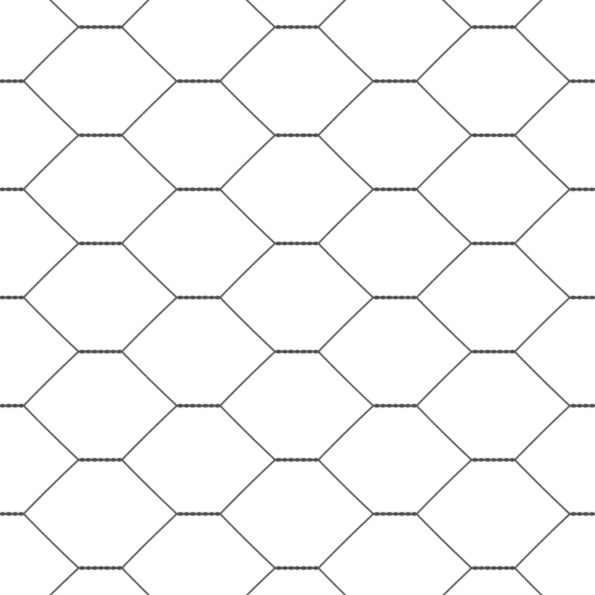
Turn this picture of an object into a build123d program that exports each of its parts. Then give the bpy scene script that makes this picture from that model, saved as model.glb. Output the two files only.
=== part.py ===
# Hexagonal wire netting: a flat sheet, cut from the roll and edged with a selvedge wire.
#
# Every wire of the netting is one piece. A mesh wire zigzags between two lanes and is
# twisted with the wire of the next band wherever the two meet. X runs along the wires,
# Y across the sheet, and the sheet lies on Z = 0 with its centre over the origin.

import os
from collections import namedtuple
from math import atan2, cos, pi, radians, sin, sqrt

from build123d import *

# Driving dimensions, in millimetres
mesh_width = 50.0           # across one mesh, from twist to twist
mesh_pitch = 90.8           # along the sheet, from a twist to the next one in its lane
meshes_across = 6           # whole meshes in the width of the sheet
twist_columns = 9           # columns of twists in the length of the sheet
twist_length = 20.0         # between the first and the last crossing of a twist
turns_per_twist = 4         # whole turns, so that each wire leaves on the side it came from
turn_direction = -1         # -1 for a left-handed twist, 1 for a right-handed one
wire_diameter = 0.9
strand_clearance = 0.205    # between the two strands of a twist

# The drawn wire has a square section with the area of the round one
strand_side = wire_diameter * sqrt(pi) / 2
strand_offset = (strand_side + strand_clearance) / 2
mid_height = strand_offset + strand_side / 2

# Layout of the lanes and columns in which the twists lie
lane_spacing = mesh_width / 2
column_spacing = mesh_pitch / 2
lanes = 2 * meshes_across
sheet_width = lanes * lane_spacing
sheet_length = twist_columns * column_spacing

# A twist's lobes lie between its crossings, and each is drawn by two quarter turns
lobes = 2 * turns_per_twist - 1
corners = 2 * lobes
quarter_length = twist_length / corners
corner_radius = strand_offset * sqrt(2)
first_corner = 135.0        # degrees from +Y, where the upper strand has just crossed over
quarter_turn = 90.0

# A sloping wire is cut by its section plane at a slant, so that section is wider
slope = atan2(lane_spacing, column_spacing - twist_length)
sloping_side = strand_side / cos(slope)

# A square section of wire: its middle, and its side along Y
Section = namedtuple("Section", "x y z side")


def column_x(column):
    """Middle of a column of twists."""
    return (column - (twist_columns - 1) / 2) * column_spacing


def lane_y(lane):
    """Axis of a lane of twists."""
    return lane * lane_spacing - sheet_width / 2


def twisted(column, lane, strand):
    """Sections of one strand of a twist, a quarter turn apart.

    strand is 1 for the strand that comes from above the lane and -1 for the one that
    comes from below, which stands opposite it all the way.
    """
    sections = []
    for corner in range(corners):
        angle = radians(turn_direction * (first_corner + quarter_turn * corner))
        x = column_x(column) + (corner - (corners - 1) / 2) * quarter_length
        y = lane_y(lane) + strand * corner_radius * cos(angle)
        z = mid_height + strand * corner_radius * sin(angle)
        sections.append(Section(x, y, z, strand_side))
    return sections


def crossing(column, lane, strand, end):
    """Section where a strand comes into a twist, at end -1, or leaves it, at end 1."""
    x = column_x(column) + end * twist_length / 2
    z = mid_height - end * strand * turn_direction * strand_offset
    return Section(x, lane_y(lane), z, sloping_side)


def between(start, end, x):
    """Section at x on the straight run from one section to the next."""
    share = (x - start.x) / (end.x - start.x)
    return Section(*(a + share * (b - a) for a, b in zip(start, end)))


def cut_to_length(sections):
    """Keep what lies on the sheet, and cut the wire off square at its ends."""
    half = sheet_length / 2
    inside = [section for section in sections if abs(section.x) < half]
    before = [section for section in sections if section.x <= -half]
    after = [section for section in sections if section.x >= half]
    first = between(before[-1], inside[0], -half)
    last = between(inside[-1], after[0], half)
    return [first, *inside, last]


def mesh_wire(number):
    """Sections of a mesh wire, which swings from lane number - 1 up to lane number."""
    sections = []
    for column in range(-1, twist_columns + 1):
        if (column + number) % 2 == 1:
            lane, strand = number, -1
        else:
            lane, strand = number - 1, 1
        sections.append(crossing(column, lane, strand, -1))
        sections += twisted(column, lane, strand)
        sections.append(crossing(column, lane, strand, 1))
    return cut_to_length(sections)


def selvedge_wire(lane, strand):
    """Sections of an edge wire, straight between its twists with the outer mesh wire."""
    sections = []
    for column in range(-2, twist_columns + 2):
        if (column + lane) % 2 == 1:
            sections += twisted(column, lane, strand)
    return cut_to_length(sections)


def make_piece(name, sections):
    """Loft a wire straight from section to section and write it as a piece of its own."""
    with BuildPart() as wire:
        for section in sections:
            with BuildSketch(Plane.YZ.offset(section.x)):
                with Locations((section.y, section.z)):
                    Rectangle(section.side, strand_side)
        loft(ruled=True)
    wire.part.label = name
    export_step(wire.part, f"parts/{name}.step")
    print(f"{name}: {len(sections)} sections, {wire.part.volume:.1f} mm3")


os.makedirs("parts", exist_ok=True)

# Mesh wires, numbered across the sheet from its near edge
for wire_number in range(1, lanes + 1):
    make_piece(f"mesh_wire_{wire_number:02d}", mesh_wire(wire_number))

# Selvedge wires along the two edges
make_piece("selvedge_wire_near", selvedge_wire(0, -1))
make_piece("selvedge_wire_far", selvedge_wire(lanes, 1))
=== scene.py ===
"""Looks of a flat sheet of hexagonal wire netting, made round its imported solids.

Each wire of the sheet is one piece. A strand is wrung from a straight rod, drawn out into
the wires that leave its twist at both sides, and repeated along the sheet.
"""
import logging
import math
from dataclasses import dataclass, field
from enum import Enum
from typing import Callable

import bpy
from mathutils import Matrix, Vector


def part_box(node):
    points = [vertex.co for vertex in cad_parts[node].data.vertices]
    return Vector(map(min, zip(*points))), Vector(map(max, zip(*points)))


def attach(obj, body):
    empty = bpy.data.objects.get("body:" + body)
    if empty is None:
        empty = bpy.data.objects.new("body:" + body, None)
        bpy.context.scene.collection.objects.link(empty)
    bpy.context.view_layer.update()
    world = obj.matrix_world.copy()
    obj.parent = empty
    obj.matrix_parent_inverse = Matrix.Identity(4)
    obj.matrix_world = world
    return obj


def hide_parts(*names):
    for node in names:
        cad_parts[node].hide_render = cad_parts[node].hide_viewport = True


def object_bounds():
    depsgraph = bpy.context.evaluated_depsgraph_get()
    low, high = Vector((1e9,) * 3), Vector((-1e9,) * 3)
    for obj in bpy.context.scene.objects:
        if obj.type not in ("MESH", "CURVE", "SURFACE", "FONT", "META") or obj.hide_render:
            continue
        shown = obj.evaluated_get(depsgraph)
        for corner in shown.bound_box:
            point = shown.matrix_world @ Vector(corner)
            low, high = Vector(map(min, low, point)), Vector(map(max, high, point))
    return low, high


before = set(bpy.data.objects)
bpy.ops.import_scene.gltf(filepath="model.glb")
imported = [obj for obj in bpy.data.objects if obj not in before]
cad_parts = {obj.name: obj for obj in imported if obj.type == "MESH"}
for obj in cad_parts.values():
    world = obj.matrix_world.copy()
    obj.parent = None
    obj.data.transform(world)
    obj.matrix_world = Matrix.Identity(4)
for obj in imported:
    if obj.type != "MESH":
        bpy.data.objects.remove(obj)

log = logging.getLogger("netting")

MM = 0.001
RING_GAP = 0.01 * MM
LEAST_RISE = 1e-4
cad_low, cad_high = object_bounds()

Route = Callable[[float], tuple[float, float]]
Colour = tuple[float, float, float]


class Hand(Enum):
    """Which way a twist is wrung."""

    LEFT = -1
    RIGHT = 1


class Strand(Enum):
    """The side of its lane that a strand comes from."""

    ABOVE = 1
    BELOW = -1


class Mark(Enum):
    """Attributes that the wires carry for their finishes."""

    DRAWN = "drawn"
    CREVICE = "crevice"


def pick_only(piece: bpy.types.Object) -> None:
    """Deselect everything and make one object the selected, active one.

    Args:
        piece: the object to pick.
    """
    bpy.ops.object.select_all(action="DESELECT")
    piece.select_set(True)
    bpy.context.view_layer.objects.active = piece


def edit_points(piece: bpy.types.Object, test: Callable[[Vector], bool]) -> None:
    """Open an object in edit mode with just the points that pass a test selected.

    Args:
        piece: the mesh object.
        test: tells from a point's place whether it is wanted.
    """
    pick_only(piece)
    bpy.ops.object.mode_set(mode="EDIT")
    bpy.ops.mesh.select_mode(type="VERT")
    bpy.ops.mesh.select_all(action="DESELECT")
    bpy.ops.object.mode_set(mode="OBJECT")
    for point in piece.data.vertices:
        point.select = test(point.co)
    bpy.ops.object.mode_set(mode="EDIT")


def edit_ring(piece: bpy.types.Object, x: float) -> None:
    """Open a wire in edit mode with just its ring at x selected."""
    edit_points(piece, lambda point: abs(point.x - x) < RING_GAP)


def apply_modifier(piece: bpy.types.Object, kind: str, **settings: object) -> None:
    """Add a modifier and apply it at once.

    Args:
        piece: the mesh object.
        kind: the type of the modifier.
        settings: the modifier's own options.
    """
    pick_only(piece)
    bpy.ops.object.modifier_add(type=kind)
    modifier = piece.modifiers[-1]
    for name, value in settings.items():
        setattr(modifier, name, value)
    bpy.ops.object.modifier_apply(modifier=modifier.name)


def copy_of(piece: bpy.types.Object, name: str) -> bpy.types.Object:
    """Duplicate an object together with its mesh.

    Args:
        piece: the object to copy.
        name: the name of the copy and of its mesh.

    Returns:
        The copy.
    """
    pick_only(piece)
    bpy.ops.object.duplicate(linked=False)
    twin = bpy.context.view_layer.objects.active
    twin.name = twin.data.name = name
    return twin


def settle(piece: bpy.types.Object) -> None:
    """Put an object's place, turn and scale into its mesh."""
    pick_only(piece)
    bpy.ops.object.transform_apply(location=True, rotation=True, scale=True)


def shift(piece: bpy.types.Object, move: tuple[float, float, float]) -> None:
    """Move an object and settle the move into its mesh.

    Args:
        piece: the mesh object.
        move: how far it goes along X, Y and Z.
    """
    pick_only(piece)
    bpy.ops.transform.translate(value=move)
    settle(piece)


def roll(angle: float, centre: Vector) -> None:
    """Roll what is selected about a line along X through a point, by the right-hand rule."""
    bpy.ops.transform.rotate(value=-angle, orient_axis="X", center_override=centre)


def turn_over(piece: bpy.types.Object) -> None:
    """Turn an object half round the X axis, which makes one strand of a twist the other.

    Args:
        piece: the mesh object.
    """
    pick_only(piece)
    bpy.ops.transform.rotate(value=math.pi, orient_axis="X", center_override=(0, 0, 0))
    settle(piece)


def join_all(parts: list[bpy.types.Object], name: str) -> bpy.types.Object:
    """Join several objects into the first of them.

    Args:
        parts: the mesh objects.
        name: the name of the joined object and of its mesh.

    Returns:
        The joined object.
    """
    pick_only(parts[0])
    for part in parts:
        part.select_set(True)
    bpy.ops.object.join()
    parts[0].name = parts[0].data.name = name
    return parts[0]


def discard(pieces: list[bpy.types.Object]) -> None:
    """Delete the patterns that finished pieces were copied from.

    Args:
        pieces: the patterns.
    """
    for piece in pieces:
        pick_only(piece)
        bpy.ops.object.delete()


def rings_of(piece: bpy.types.Object) -> list[list[bpy.types.MeshVertex]]:
    """Sort the points of a wire into its rings, which all stand square to X.

    Args:
        piece: the wire.

    Returns:
        The rings from the wire's low end in X to its high end.
    """
    rings: list[list[bpy.types.MeshVertex]] = []
    for point in sorted(piece.data.vertices, key=lambda point: point.co.x):
        if not rings or point.co.x - rings[-1][0].co.x > RING_GAP:
            rings.append([])
        rings[-1].append(point)
    return rings


def middle_of(ring: list[bpy.types.MeshVertex]) -> Vector:
    """Middle of a ring of points."""
    return sum((point.co for point in ring), Vector()) / len(ring)


@dataclass
class Netting:
    """Sizes of the netting in metres, and the routes that its wires follow.

    A route gives the place in Y and Z of a strand at x from the middle of its twist. The
    mesh strand is the one that comes from above its lane. The lobes of a twist sit a little
    off its middle, and every second one is longer and looser, as the machine leaves them.
    The sloping runs bow a little, and their ends stand aside from the middle of the twist.
    """

    mesh_width: float = 50.0 * MM
    mesh_pitch: float = 90.8 * MM
    wire_diameter: float = 0.9 * MM
    columns: int = 9
    hand: Hand = Hand.LEFT
    lobes: int = 7
    lobe_length: float = 2.89 * MM
    lobe_shift: float = 0.38 * MM
    lobe_swing: float = 0.075 * MM
    lobe_gape: float = 0.03
    crossing: float = 9.8 * MM
    crossing_shift: float = 0.14 * MM
    bend_length: float = 0.6 * MM
    vertex: float = 10.0 * MM
    vertex_shift: float = 0.12 * MM
    bow: float = 0.32 * MM
    slope_step: float = 0.01
    mid_height: float = field(default_factory=lambda: (cad_low.z + cad_high.z) / 2)

    @property
    def lane_spacing(self) -> float:
        """Distance from one lane of twists to the next."""
        return self.mesh_width / 2

    @property
    def column_spacing(self) -> float:
        """Distance from one column of twists to the next."""
        return self.mesh_pitch / 2

    @property
    def reach(self) -> float:
        """Distance from the middle of the sheet to its cut ends."""
        return self.columns * self.column_spacing / 2

    @property
    def strand_radius(self) -> float:
        """Distance of a strand's middle from the axis of its twist."""
        return self.wire_diameter / 2

    @property
    def lead(self) -> float:
        """Rise of a strand round its twist for each step along it."""
        return math.pi * self.strand_radius / self.lobe_length

    @property
    def rod_half(self) -> float:
        """Half the length of the wrung rod, which ends at the widest place of the last lobe."""
        return (self.lobes - 1) / 2 * self.lobe_length

    def gape(self, half_turns: float) -> float:
        """Factor by which the strands stand apart sideways, half turns from the middle."""
        return 1 + self.lobe_gape * (1 - math.cos(math.pi * half_turns)) / 2

    def rod_end(self, side: int) -> float:
        """Distance from the middle of the twist to the end of its rod at one side."""
        return self.rod_half + side * self.lobe_shift

    def crossing_at(self, side: int) -> float:
        """Distance from the middle of the twist to its outermost crossing at one side."""
        return self.crossing + side * self.crossing_shift

    def leaving(self, x: float) -> float:
        """Tell how far a place is between the end of the rod and the outermost crossing.

        Args:
            x: distance along X from the middle of the twist.

        Returns:
            The share of the way, 0 at the end of the rod.
        """
        side = 1 if x > 0 else -1
        start, end = self.rod_end(side), self.crossing_at(side)
        return (abs(x) - start) / (end - start)

    def wrung(self, x: float) -> tuple[float, float]:
        """Route of the mesh strand between the rod's end and the outermost crossing.

        Args:
            x: distance along X from the middle of the twist.

        Returns:
            The place of the middle of the strand in Y and Z.
        """
        side = 1 if x > 0 else -1
        half_turns = side * ((self.lobes - 1) + self.leaving(x)) / 2
        angle = self.hand.value * math.pi * half_turns
        aside = self.strand_radius * self.gape(half_turns)
        return aside * math.cos(angle), self.strand_radius * math.sin(angle)

    def sloping(self, x: float) -> tuple[float, float]:
        """Route of the mesh strand on its way to the next lane.

        Args:
            x: distance along X from the middle of the twist.

        Returns:
            The place of the middle of the strand in Y and Z.
        """
        side = 1 if x > 0 else -1
        start = self.vertex + side * self.vertex_shift
        share = (abs(x) - start) / (self.column_spacing - 2 * self.vertex)
        # A parabola that stands out by the bow half way along the run
        bulge = side * 4 * self.bow * share * (1 - share)
        last_quarter = self.hand.value * side * self.lobes * math.pi / 2
        return self.lane_spacing * share + bulge, self.strand_radius * math.sin(last_quarter)

    def mesh_route(self, x: float) -> tuple[float, float]:
        """Route of the mesh strand from the end of the rod outwards.

        Args:
            x: distance along X from the middle of the twist.

        Returns:
            The place of the middle of the strand in Y and Z.
        """
        side = 1 if x > 0 else -1
        start = self.crossing_at(side)
        if abs(x) <= start:
            return self.wrung(x)
        end = start + self.bend_length
        share = (abs(x) - start) / self.bend_length
        if share >= 1:
            return self.sloping(x)
        step = self.slope_step * self.bend_length
        height, depth = self.sloping(side * end)
        aside = self.strand_radius * self.gape(self.lobes / 2)
        fall = math.pi * aside / 2 / (start - self.rod_end(side))
        rise = (self.sloping(side * (end + step))[0] - height) / step
        # A cubic that takes over the fall of the twist and ends on the rise of the run
        ease = share * share * (3 - 2 * share)
        early = share * (1 - share) ** 2 * fall * self.bend_length
        late = share * share * (share - 1) * rise * self.bend_length
        return height * ease + early + late, depth

    def selvedge_route(self, x: float) -> tuple[float, float]:
        """Route of the near selvedge strand from the end of the rod outwards.

        Args:
            x: distance along X from the middle of the twist.

        Returns:
            The place of the middle of the strand in Y and Z.
        """
        side = 1 if x > 0 else -1
        aside = self.strand_radius * self.gape((self.lobes - 1) / 2)
        depth = side * self.hand.value * self.strand_radius
        start = self.crossing_at(side)
        if abs(x) < start:
            return aside, depth * math.sin(self.leaving(x) * math.pi / 2)
        span = self.mesh_pitch - 2 * self.crossing
        return aside, depth * math.cos((abs(x) - start) / span * math.pi)


@dataclass
class StrandModel:
    """One strand of a twist with the wire that leaves it at both sides."""

    netting: Netting
    sides: int = 20
    rings_per_lobe: int = 10
    leaving_rings: int = 6
    bend_rings: int = 6
    run_rings: int = 5

    def straight_rod(self) -> bpy.types.Object:
        """Model an open round rod beside the axis of the twist, with a ring at each step.

        Returns:
            The rod, still straight.
        """
        net = self.netting
        bpy.ops.object.select_all(action="DESELECT")
        bpy.ops.mesh.primitive_cylinder_add(
            vertices=self.sides, radius=net.wire_diameter / 2, depth=2 * net.rod_half,
            end_fill_type="NOTHING", location=(0, net.strand_radius, 0),
            rotation=(0, math.pi / 2, 0))
        rod = bpy.context.view_layer.objects.active
        settle(rod)
        bpy.ops.object.mode_set(mode="EDIT")
        bpy.ops.mesh.select_mode(type="EDGE")
        bpy.ops.mesh.select_all(action="DESELECT")
        bpy.ops.object.mode_set(mode="OBJECT")
        points = rod.data.vertices
        for edge in rod.data.edges:
            first, second = (points[index].co for index in edge.vertices)
            edge.select = abs(first.x - second.x) > net.rod_half
        bpy.ops.object.mode_set(mode="EDIT")
        bpy.ops.mesh.subdivide(number_cuts=(net.lobes - 1) * self.rings_per_lobe - 1)
        bpy.ops.object.mode_set(mode="OBJECT")
        return rod

    def wring_rod(self) -> bpy.types.Object:
        """Wring a straight rod round the axis of the twist.

        Returns:
            The strand, which stands above the axis in the middle of the twist.
        """
        net = self.netting
        rod = self.straight_rod()
        edit_points(rod, lambda point: True)
        bpy.ops.transform.resize(
            value=(1, 1, math.hypot(1, net.lead)), center_override=(0, net.strand_radius, 0))
        bpy.ops.object.mode_set(mode="OBJECT")
        apply_modifier(
            rod, "SIMPLE_DEFORM", deform_method="TWIST", deform_axis="X",
            angle=net.hand.value * (net.lobes - 1) * math.pi)
        for number in range((net.lobes - 1) * self.rings_per_lobe + 1):
            place = net.lobe_length * number / self.rings_per_lobe - net.rod_half
            half_turns = place / net.lobe_length
            slide = -net.lobe_swing * math.sin(math.pi * half_turns)
            aside = net.strand_radius * math.cos(math.pi * half_turns)
            edit_ring(rod, place)
            bpy.ops.transform.translate(value=(slide, aside * (net.gape(half_turns) - 1), 0))
            bpy.ops.object.mode_set(mode="OBJECT")
        shift(rod, (net.lobe_shift, 0, 0))
        return rod

    def leaving_places(self, side: int) -> list[float]:
        """Space the rings between the end of the rod and the outermost crossing.

        Args:
            side: 1 for the end at +X, -1 for the other.

        Returns:
            Distances of the rings from the middle of the twist, the rod's end first.
        """
        start, end = self.netting.rod_end(side), self.netting.crossing_at(side)
        return [start + (end - start) * n / self.leaving_rings
                for n in range(self.leaving_rings + 1)]

    def draw_out(self, strand: bpy.types.Object, side: int, route: Route,
                 places: list[float], middle: float = 0.0) -> None:
        """Extrude one open end of a strand along a route.

        Args:
            strand: the strand, open at that end.
            side: 1 for the end at +X, -1 for the other.
            route: the place in Y and Z of the wire at each x.
            places: distances of the rings from the middle of the twist, the open end first.
            middle: where the middle of the twist is on the strand.
        """
        edit_ring(strand, middle + side * places[0])
        here, lean, stretch = self.section(route, side * places[0], math.pi / 2)
        # The rod's own end was stretched by the lead of the twist
        if abs(places[0] - self.netting.rod_end(side)) < RING_GAP:
            stretch = math.hypot(1, self.netting.lead)
        for place in places[1:]:
            there, next_lean, next_stretch = self.section(route, side * place, lean)
            bpy.ops.mesh.extrude_region_move(TRANSFORM_OT_translate={"value": there - here})
            centre = there + Vector((middle, 0, 0))
            roll(-lean, centre)
            bpy.ops.transform.resize(
                value=(1, next_stretch / stretch, 1), center_override=centre)
            roll(next_lean, centre)
            here, lean, stretch = there, next_lean, next_stretch
        bpy.ops.object.mode_set(mode="OBJECT")

    def section(self, route: Route, x: float, lean: float) -> tuple[Vector, float, float]:
        """Work out how a wire is cut across X.

        Args:
            route: the place in Y and Z of the wire at each x.
            x: where the cut is.
            lean: the lean of the cut before, to which this one is the nearest.

        Returns:
            The middle of the cut, the angle from Y to its longer axis, and its stretch.
        """
        step = RING_GAP
        (y0, z0), (y1, z1) = route(x - step), route(x + step)
        rise = math.hypot(y1 - y0, z1 - z0) / (2 * step)
        if rise > LEAST_RISE:
            heading = math.atan2(z1 - z0, y1 - y0)
            lean = heading - math.pi * round((heading - lean) / math.pi)
        return Vector((x, *route(x))), lean, math.hypot(1, rise)

    def mesh_strand(self) -> bpy.types.Object:
        """Model the strand that comes from above its lane.

        Returns:
            The strand, centred on its twist and open at both ends.
        """
        net = self.netting
        strand = self.wring_rod()
        for side in (1, -1):
            places = self.leaving_places(side)
            start = places[-1]
            bend = net.bend_length / self.bend_rings
            places += [start + bend * n for n in range(1, self.bend_rings + 1)]
            start = places[-1]
            run = (net.column_spacing / 2 - start) / self.run_rings
            places += [start + run * n for n in range(1, self.run_rings + 1)]
            self.draw_out(strand, side, net.mesh_route, places)
        strand.name = strand.data.name = "mesh_strand"
        return strand

    def selvedge_strand(self) -> bpy.types.Object:
        """Model the near selvedge's strand.

        Returns:
            The strand, out to half way to the next twist at each side.
        """
        net = self.netting
        strand = self.wring_rod()
        turn_over(strand)
        for side in (1, -1):
            places = self.leaving_places(side)
            start = places[-1]
            run = (net.mesh_pitch / 2 - start) / self.run_rings
            places += [start + run * n for n in range(1, self.run_rings + 1)]
            self.draw_out(strand, side, net.selvedge_route, places)
        strand.name = strand.data.name = "selvedge_strand"
        return strand


@dataclass
class NodeBench:
    """A node tree, with a short way to add nodes that are already fed.

    A Mix node has sockets for each kind of value, so those of its colours go by number.
    """

    MIX_MASK = 0
    MIX_UNDER = 6
    MIX_OVER = 7
    MIX_COLOUR = 2

    tree: bpy.types.NodeTree

    def add(self, kind: str, feeds: dict[str | int, object] | None = None,
            **settings: object) -> bpy.types.Node:
        """Add a node.

        Args:
            kind: the node's type, without its ShaderNode prefix.
            feeds: what goes into each input, a number, a colour or another node's output.
            settings: the node's own options.

        Returns:
            The new node.
        """
        node = self.tree.nodes.new(f"ShaderNode{kind}")
        for name, value in settings.items():
            setattr(node, name, value)
        for place, feed in (feeds or {}).items():
            if isinstance(feed, bpy.types.NodeSocket):
                self.tree.links.new(feed, node.inputs[place])
            else:
                node.inputs[place].default_value = feed
        return node

    def range(self, value: bpy.types.NodeSocket, low: float, high: float,
              start: float = 0.0, end: float = 1.0) -> bpy.types.NodeSocket:
        """Stretch a value from one span to another, and hold it at the ends.

        Args:
            value: the value to stretch.
            low: what it becomes at start.
            high: what it becomes at end.
            start: the low end of its own span.
            end: the high end of its own span.

        Returns:
            The stretched value.
        """
        feeds = {"Value": value, "From Min": start, "From Max": end,
                 "To Min": low, "To Max": high}
        return self.add("MapRange", feeds).outputs["Result"]

    def blend(self, mask: bpy.types.NodeSocket, under: bpy.types.NodeSocket | Colour,
              over: Colour) -> bpy.types.NodeSocket:
        """Lay a colour over another one.

        Args:
            mask: where the upper colour shows.
            under: the lower colour.
            over: the upper colour.

        Returns:
            The mixed colour.
        """
        base = under if isinstance(under, bpy.types.NodeSocket) else (*under, 1)
        feeds = {self.MIX_MASK: mask, self.MIX_UNDER: base, self.MIX_OVER: (*over, 1)}
        return self.add("Mix", data_type="RGBA", feeds=feeds).outputs[self.MIX_COLOUR]


@dataclass(frozen=True)
class Effect:
    """A shader node group, with its inputs and outputs by name and kind."""

    name: str
    inputs: dict[str, str]
    outputs: dict[str, str]

    def begin(self) -> tuple[NodeBench, dict[str, bpy.types.NodeSocket], bpy.types.Node]:
        """Make the empty group.

        Returns:
            A bench to work at, the inputs by name, and the node that the outputs feed.
        """
        tree = bpy.data.node_groups.new(self.name, "ShaderNodeTree")
        for name, kind in self.inputs.items():
            tree.interface.new_socket(name, in_out="INPUT", socket_type=f"NodeSocket{kind}")
        for name, kind in self.outputs.items():
            tree.interface.new_socket(name, in_out="OUTPUT", socket_type=f"NodeSocket{kind}")
        entry = tree.nodes.new("NodeGroupInput")
        leaves = tree.nodes.new("NodeGroupOutput")
        given = {name: entry.outputs[name] for name in self.inputs}
        return NodeBench(tree), given, leaves

    def place(self, bench: NodeBench, feeds: dict[str, object]) -> bpy.types.Node:
        """Put the group, already built, into a material."""
        return bench.add("Group", feeds, node_tree=bpy.data.node_groups[self.name])


class ZincEffects:
    """What the weather, the drawing plates and the cutters leave on galvanised wire, and the
    fill light painted between strands.
    """

    PATCH_DETAIL = 3.0
    PATCH_ROUGHNESS = 0.6
    FINE_DETAIL = 2.0
    MOTTLE_SPAN = (0.75, 1.25)
    SPECK_SPAN = (0.1, 0.2)
    LINE_SPAN = (0.3, 0.7)
    LINE_SCALE_ALONG = 60.0
    PAINTED_FILL_SPAN = (0.2, 0.75)
    # Span and breakup of the paler colour painted between strands as fill light
    PAINTED_FILL_BREAKUP = 0.3

    WEATHER = Effect("zinc_weather", {"Place": "Vector", "Patch": "Float", "Grain": "Float"},
                     {"Mottle": "Float", "Specks": "Float"})
    LINES = Effect("drawn_lines", {"Drawn": "Vector", "Fineness": "Float"},
                   {"Lines": "Float"})
    # Mask of the paler colour painted between strands as fill light against their shade
    PAINTED_FILL = Effect("crevice_painted_fill", {"Crevice": "Float", "Breakup": "Float"},
                   {"Bloom": "Float"})
    SNIPS = Effect("snipped_ends", {"Place": "Vector", "Reach": "Float", "Length": "Float"},
                   {"Bare": "Float"})

    def build(self) -> None:
        """Build every group once."""
        self.weather()
        self.lines()
        self.bloom()
        self.snips()

    def weather(self) -> None:
        """Soft patches with a fine grain in them, and scattered specks."""
        bench, given, leaves = self.WEATHER.begin()
        patch = bench.add("TexNoise", {"Vector": given["Place"], "Scale": given["Patch"],
                                       "Detail": self.PATCH_DETAIL,
                                       "Roughness": self.PATCH_ROUGHNESS})
        grain = bench.add("TexNoise", {"Vector": given["Place"], "Scale": given["Grain"],
                                       "Detail": self.FINE_DETAIL})
        both = bench.add("Math", {0: patch.outputs["Fac"], 1: grain.outputs["Fac"]})
        mottle = bench.range(both.outputs[0], 0.0, 1.0, *self.MOTTLE_SPAN)
        cells = bench.add("TexVoronoi", {"Vector": given["Place"], "Scale": given["Grain"]})
        specks = bench.range(cells.outputs["Distance"], 1.0, 0.0, *self.SPECK_SPAN)
        bench.tree.links.new(mottle, leaves.inputs["Mottle"])
        bench.tree.links.new(specks, leaves.inputs["Specks"])

    def lines(self) -> None:
        """Fine lines that run along the wire, from the plates that it was drawn through."""
        bench, given, leaves = self.LINES.begin()
        across = bench.add("CombineXYZ", {"X": self.LINE_SCALE_ALONG, "Y": given["Fineness"],
                                          "Z": given["Fineness"]})
        stretched = bench.add("VectorMath", operation="MULTIPLY",
                              feeds={0: given["Drawn"], 1: across.outputs[0]})
        streaks = bench.add("TexNoise", {"Vector": stretched.outputs[0], "Scale": 1.0,
                                         "Detail": self.FINE_DETAIL})
        lines = bench.range(streaks.outputs["Fac"], 0.0, 1.0, *self.LINE_SPAN)
        bench.tree.links.new(lines, leaves.inputs["Lines"])

    def bloom(self) -> None:
        """Painted fill light: a paler colour where two strands lie against each other, which
        lifts the shade between them.
        """
        bench, given, leaves = self.PAINTED_FILL.begin()
        ragged = bench.add("Math", operation="MULTIPLY_ADD",
                           feeds={0: given["Breakup"], 1: self.PAINTED_FILL_BREAKUP,
                                  2: given["Crevice"]})
        bloom = bench.range(ragged.outputs[0], 0.0, 1.0, *self.PAINTED_FILL_SPAN)
        bench.tree.links.new(bloom, leaves.inputs["Bloom"])

    def snips(self) -> None:
        """Bare steel at the ends of the sheet, where the wires were cut."""
        bench, given, leaves = self.SNIPS.begin()
        parts = bench.add("SeparateXYZ", {0: given["Place"]})
        away = bench.add("Math", operation="ABSOLUTE", feeds={0: parts.outputs["X"]})
        start = bench.add("Math", operation="SUBTRACT",
                          feeds={0: given["Reach"], 1: given["Length"]})
        bare = bench.add("Math", operation="GREATER_THAN",
                         feeds={0: away.outputs[0], 1: start.outputs[0]})
        bench.tree.links.new(bare.outputs[0], leaves.inputs["Bare"])


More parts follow.
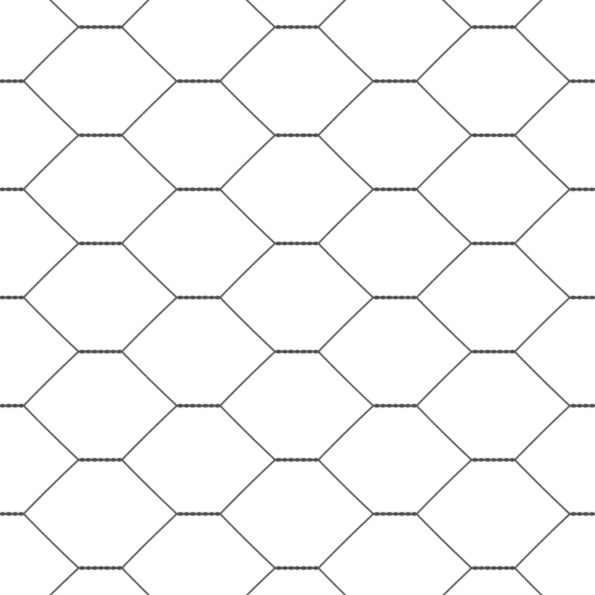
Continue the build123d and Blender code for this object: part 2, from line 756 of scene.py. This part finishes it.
@dataclass(frozen=True)
class ZincFinish:
    """Galvanised wire gone dull, with a paler colour painted between its strands as fill light
    against their shade, and steel at its cut ends.
    """

    name: str
    dark: Colour
    light: Colour
    # Colour of the oxide specks, and of the fill light painted between strands
    bloom: Colour
    steel: Colour = (0.32, 0.32, 0.33)
    metallic: float = 0.6
    # Less metallic where fill light is painted between strands, which flattens their shade
    painted_fill_metallic: float = 0.1
    specular: float = 0.3
    speck_strength: float = 0.35
    smooth: float = 0.48
    rough: float = 0.66
    patch_scale: float = 60.0
    grain_scale: float = 2600.0
    line_fineness: float = 9000.0
    line_roughness: float = 0.06
    relief: float = 0.012 * MM
    relief_strength: float = 0.5
    mottle_relief: float = 0.5

    def material(self, reach: float, snip_length: float) -> bpy.types.Material:
        """Build the material.

        Args:
            reach: distance from the middle of the sheet to its cut ends.
            snip_length: how far in from the ends the cutters left bare steel.

        Returns:
            The material.
        """
        material = bpy.data.materials.new(self.name)
        material.use_nodes = True
        bench = NodeBench(material.node_tree)
        shader = material.node_tree.nodes["Principled BSDF"]
        place = bench.add("TexCoord").outputs["Object"]
        drawn = bench.add("Attribute", attribute_name=Mark.DRAWN.value).outputs["Vector"]
        crevice = bench.add("Attribute", attribute_name=Mark.CREVICE.value).outputs["Fac"]
        weather = ZincEffects.WEATHER.place(
            bench, {"Place": place, "Patch": self.patch_scale, "Grain": self.grain_scale})
        lines = ZincEffects.LINES.place(
            bench, {"Drawn": drawn, "Fineness": self.line_fineness}).outputs["Lines"]
        mottle = weather.outputs["Mottle"]
        # Mask of the fill light painted between the strands of a twist
        bloom = ZincEffects.PAINTED_FILL.place(
            bench, {"Crevice": crevice, "Breakup": mottle}).outputs["Bloom"]
        bare = ZincEffects.SNIPS.place(
            bench, {"Place": place, "Reach": reach, "Length": snip_length}).outputs["Bare"]
        zinc = bench.blend(mottle, self.dark, self.light)
        specks = bench.range(weather.outputs["Specks"], 0.0, self.speck_strength)
        zinc = bench.blend(specks, zinc, self.bloom)
        # Painted fill light: a paler colour between the strands of a twist, against the shade
        # there
        zinc = bench.blend(bloom, zinc, self.bloom)
        zinc = bench.blend(bare, zinc, self.steel)
        dulled = bench.range(mottle, self.smooth, self.rough)
        streaked = bench.add("Math", operation="MULTIPLY_ADD",
                             feeds={0: lines, 1: self.line_roughness, 2: dulled})
        relief = bench.add("Math", operation="MULTIPLY_ADD",
                           feeds={0: mottle, 1: self.mottle_relief, 2: lines})
        bump = bench.add("Bump", {"Strength": self.relief_strength, "Distance": self.relief,
                                  "Height": relief.outputs[0]})
        links = material.node_tree.links
        links.new(zinc, shader.inputs["Base Color"])
        links.new(streaked.outputs[0], shader.inputs["Roughness"])
        # Less metallic under the fill light painted between strands
        metal = bench.range(bloom, self.metallic, self.painted_fill_metallic)
        links.new(metal, shader.inputs["Metallic"])
        links.new(bump.outputs["Normal"], shader.inputs["Normal"])
        shader.inputs["Specular IOR Level"].default_value = self.specular
        return material


@dataclass
class WireSet:
    """Wires of one kind: how their ends are cut, and how they are marked and dressed."""

    netting: Netting
    finish: ZincFinish
    slot: str
    seam: float = 0.03 * MM
    snip_length: float = 0.35 * MM
    snip_width: float = 0.3
    coil_step: float = 0.37
    crevice_reach: float = 0.8
    sharp_angle: float = 40.0

    def weld(self, wire: bpy.types.Object) -> None:
        """Merge the rings where the lengths of a wire meet.

        Args:
            wire: the joined lengths.
        """
        edit_points(wire, lambda point: True)
        bpy.ops.mesh.remove_doubles(threshold=self.seam)
        bpy.ops.object.mode_set(mode="OBJECT")

    def snip(self, wire: bpy.types.Object) -> None:
        """Close the ends of a wire with the blunt edge that cutters leave.

        Args:
            wire: the wire, open at both ends.
        """
        for last, before in ((-1, -2), (0, 1)):
            rings = rings_of(wire)
            end, inner = middle_of(rings[last]), middle_of(rings[before])
            back = (inner - end).normalized() * self.snip_length
            edit_ring(wire, end.x)
            bpy.ops.transform.translate(value=back)
            bpy.ops.mesh.extrude_region_move(TRANSFORM_OT_translate={"value": -back})
            bpy.ops.transform.resize(value=(1, self.snip_width, 1), center_override=end)
            bpy.ops.mesh.edge_face_add()
            bpy.ops.object.mode_set(mode="OBJECT")

    def mark(self, wire: bpy.types.Object, number: int) -> None:
        """Write the attributes that the finish reads.

        One holds where a point was on the straight wire, along it and across it. The other
        says how deep it sits between the two strands of a twist.

        Args:
            wire: the wire in its place on the sheet.
            number: its place in the set, because each was cut from another stretch of coil.
        """
        net = self.netting
        layers = wire.data.attributes
        layers.new(Mark.DRAWN.value, "FLOAT_VECTOR", "POINT")
        layers.new(Mark.CREVICE.value, "FLOAT", "POINT")
        drawn, crevice = layers[Mark.DRAWN.value], layers[Mark.CREVICE.value]
        for ring in rings_of(wire):
            middle = middle_of(ring)
            column = round(middle.x / net.column_spacing) * net.column_spacing
            lane = round(middle.y / net.lane_spacing) * net.lane_spacing
            twisted = abs(middle.x - column) < net.vertex
            for point in ring:
                offset = point.co - middle
                along = point.co.x + number * self.coil_step
                drawn.data[point.index].vector = (along, offset.y, offset.z)
                away = math.hypot(point.co.y - lane, point.co.z - net.mid_height)
                depth = 1 - away / (self.crevice_reach * net.wire_diameter)
                crevice.data[point.index].value = max(depth, 0) if twisted else 0

    def finish_piece(self, piece: bpy.types.Object, node: str, number: int,
                     material: bpy.types.Material) -> None:
        """Smooth, mark and dress a wire, and let it stand for its node.

        Args:
            piece: the wire in its place on the sheet.
            node: the solid that it stands for.
            number: its place in the set.
            material: its finish.
        """
        pick_only(piece)
        bpy.ops.object.shade_smooth_by_angle(angle=math.radians(self.sharp_angle))
        self.mark(piece, number)
        piece.data.materials.clear()
        piece.data.materials.append(material)
        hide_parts(node)
        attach(piece, "root")
        log.info("%s: %d faces", piece.name, len(piece.data.polygons))


@dataclass
class MeshWires(WireSet):
    """The zigzag wires that make the meshes."""

    def wire(self, pair: dict[Strand, bpy.types.Object], first: Strand) -> bpy.types.Object:
        """String strands together along the sheet, centred on its own band.

        Args:
            pair: the two strands of a twist.
            first: the strand in the first column.

        Returns:
            One whole wire.
        """
        net = self.netting
        second = Strand(-first.value)
        half = (net.columns - 1) / 2
        parts = []
        for strand, column in ((first, 0), (second, 1)):
            part = copy_of(pair[strand], "part")
            lane = -strand.value * net.lane_spacing / 2
            shift(part, ((column - half) * net.column_spacing, lane, 0))
            apply_modifier(
                part, "ARRAY", count=(net.columns + 1 - column) // 2, use_relative_offset=False,
                use_constant_offset=True, constant_offset_displace=(net.mesh_pitch, 0, 0))
            parts.append(part)
        wire = join_all(parts, f"wire_{first.name.lower()}")
        self.weld(wire)
        self.snip(wire)
        return wire

    def build(self) -> None:
        """Make every mesh wire in its own band of the sheet."""
        above = StrandModel(self.netting).mesh_strand()
        below = copy_of(above, "mesh_strand_below")
        turn_over(below)
        pair = {Strand.ABOVE: above, Strand.BELOW: below}
        patterns = {first: self.wire(pair, first) for first in Strand}
        material = self.finish.material(self.netting.reach, self.snip_length)
        nodes = sorted(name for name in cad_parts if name.startswith("mesh_wire"))
        for number, node in enumerate(nodes, start=1):
            low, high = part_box(node)
            first = Strand.BELOW if number % 2 else Strand.ABOVE
            piece = copy_of(patterns[first], f"{node}_round")
            shift(piece, (0, (low.y + high.y) / 2, self.netting.mid_height))
            self.finish_piece(piece, node, number, material)
        discard([above, below, *patterns.values()])


@dataclass
class SelvedgeWires(WireSet):
    """The straight wires along the two edges, twisted with the outermost mesh wires."""

    def near_wire(self) -> bpy.types.Object:
        """Model the near selvedge wire.

        Returns:
            The whole wire, with the axis of its twists on the X axis.
        """
        net = self.netting
        model = StrandModel(net)
        wire = model.selvedge_strand()
        twists = net.columns // 2
        last = (twists - 1) / 2 * net.mesh_pitch
        shift(wire, (-last, 0, 0))
        apply_modifier(
            wire, "ARRAY", count=twists, use_relative_offset=False, use_constant_offset=True,
            constant_offset_displace=(net.mesh_pitch, 0, 0))
        self.weld(wire)
        half = net.mesh_pitch / 2
        tail = (net.reach - last - half) / 2
        for side in (1, -1):
            places = [half, half + tail, half + 2 * tail]
            model.draw_out(wire, side, net.selvedge_route, places, middle=side * last)
        self.snip(wire)
        return wire

    def build(self) -> None:
        """Make the near wire, and turn a copy of it over for the far edge."""
        net = self.netting
        edge = net.lane_spacing * round(cad_high.y / net.lane_spacing)
        near = self.near_wire()
        near.name = near.data.name = "selvedge_wire_near_round"
        far = copy_of(near, "selvedge_wire_far_round")
        turn_over(far)
        material = self.finish.material(net.reach, self.snip_length)
        for number, (piece, node, y) in enumerate(
                ((near, "selvedge_wire_near", -edge), (far, "selvedge_wire_far", edge))):
            shift(piece, (0, y, net.mid_height))
            self.finish_piece(piece, node, number, material)


@dataclass
class Studio:
    """A white floor, soft light and a camera that looks straight down."""

    frame_pixels: int = 595
    pixel: float = 0.46235 * MM
    lens: float = 200.0
    sensor: float = 36.0
    centre: tuple[float, float] = (0.5 * MM, 0.0)
    sight: float = 100.0
    floor_size: float = 16.0
    floor_tone: float = 0.8
    floor_lift: float = 0.3
    sky: float = 0.6
    lamp_strength: float = 1.25
    lamp_spread: float = 0.5
    lamp_lean: float = 0.108

    def seen(self, bench: NodeBench) -> bpy.types.NodeSocket:
        """Tell which rays see the background as plain white.

        Args:
            bench: where the mask is needed.

        Returns:
            The mask, 1 for those rays.
        """
        path = bench.add("LightPath").outputs
        looking = bench.add("Math", operation="MAXIMUM",
                            feeds={0: path["Is Camera Ray"], 1: path["Is Glossy Ray"]})
        return bench.add("Math", operation="MAXIMUM",
                         feeds={0: looking.outputs[0],
                                1: path["Is Transmission Ray"]}).outputs[0]

    def floor(self) -> None:
        """Lay the floor that the sheet lies on."""
        bpy.ops.object.select_all(action="DESELECT")
        bpy.ops.mesh.primitive_plane_add(size=self.floor_size, location=(0, 0, 0))
        floor = bpy.context.view_layer.objects.active
        floor.name = "floor"
        material = bpy.data.materials.new("floor_white")
        material.use_nodes = True
        bench = NodeBench(material.node_tree)
        shader = material.node_tree.nodes["Principled BSDF"]
        shader.inputs["Base Color"].default_value = (*[self.floor_tone] * 3, 1)
        shader.inputs["Roughness"].default_value = 1.0
        shader.inputs["Specular IOR Level"].default_value = 0.0
        shader.inputs["Emission Color"].default_value = (1, 1, 1, 1)
        lift = bench.range(self.seen(bench), 0.0, self.floor_lift)
        material.node_tree.links.new(lift, shader.inputs["Emission Strength"])
        floor.data.materials.append(material)

    def light(self) -> None:
        """Light the sheet softly from all round and from above."""
        world = bpy.data.worlds.new("studio")
        bpy.context.scene.world = world
        world.use_nodes = True
        bench = NodeBench(world.node_tree)
        background = world.node_tree.nodes["Background"]
        background.inputs["Color"].default_value = (1, 1, 1, 1)
        level = bench.range(self.seen(bench), self.sky, 1.0)
        world.node_tree.links.new(level, background.inputs["Strength"])
        bpy.ops.object.light_add(type="SUN", rotation=(-self.lamp_lean, 0, 0))
        lamp = bpy.context.view_layer.objects.active
        lamp.data.angle = self.lamp_spread
        lamp.data.energy = self.lamp_strength

    def camera(self) -> None:
        """Hang the camera over the sheet."""
        width = self.frame_pixels * self.pixel
        height = width * self.lens / self.sensor
        bpy.ops.object.camera_add(location=(*self.centre, height), rotation=(0, 0, 0))
        camera = bpy.context.view_layer.objects.active
        camera.data.lens = self.lens
        camera.data.sensor_width = self.sensor
        camera.data.clip_end = self.sight
        bpy.context.scene.camera = camera


MESH_ZINC = ZincFinish("mesh_zinc", dark=(0.055, 0.055, 0.056), light=(0.118, 0.118, 0.12),
                       bloom=(0.1, 0.1, 0.101))
SELVEDGE_ZINC = ZincFinish("selvedge_zinc", dark=(0.06, 0.06, 0.061),
                           light=(0.122, 0.122, 0.124), bloom=(0.105, 0.105, 0.106),
                           patch_scale=45.0)


def main() -> None:
    """Build the sheet, dress it and set it in its studio."""
    logging.basicConfig(level=logging.INFO, format="%(name)s %(message)s")
    ZincEffects().build()
    netting = Netting()
    MeshWires(netting, MESH_ZINC, "mesh_wire").build()
    SelvedgeWires(netting, SELVEDGE_ZINC, "selvedge_wire").build()
    studio = Studio()
    studio.floor()
    studio.light()
    studio.camera()
    bpy.context.scene.view_settings.view_transform = "Standard"


if __name__ == "__main__":
    main()
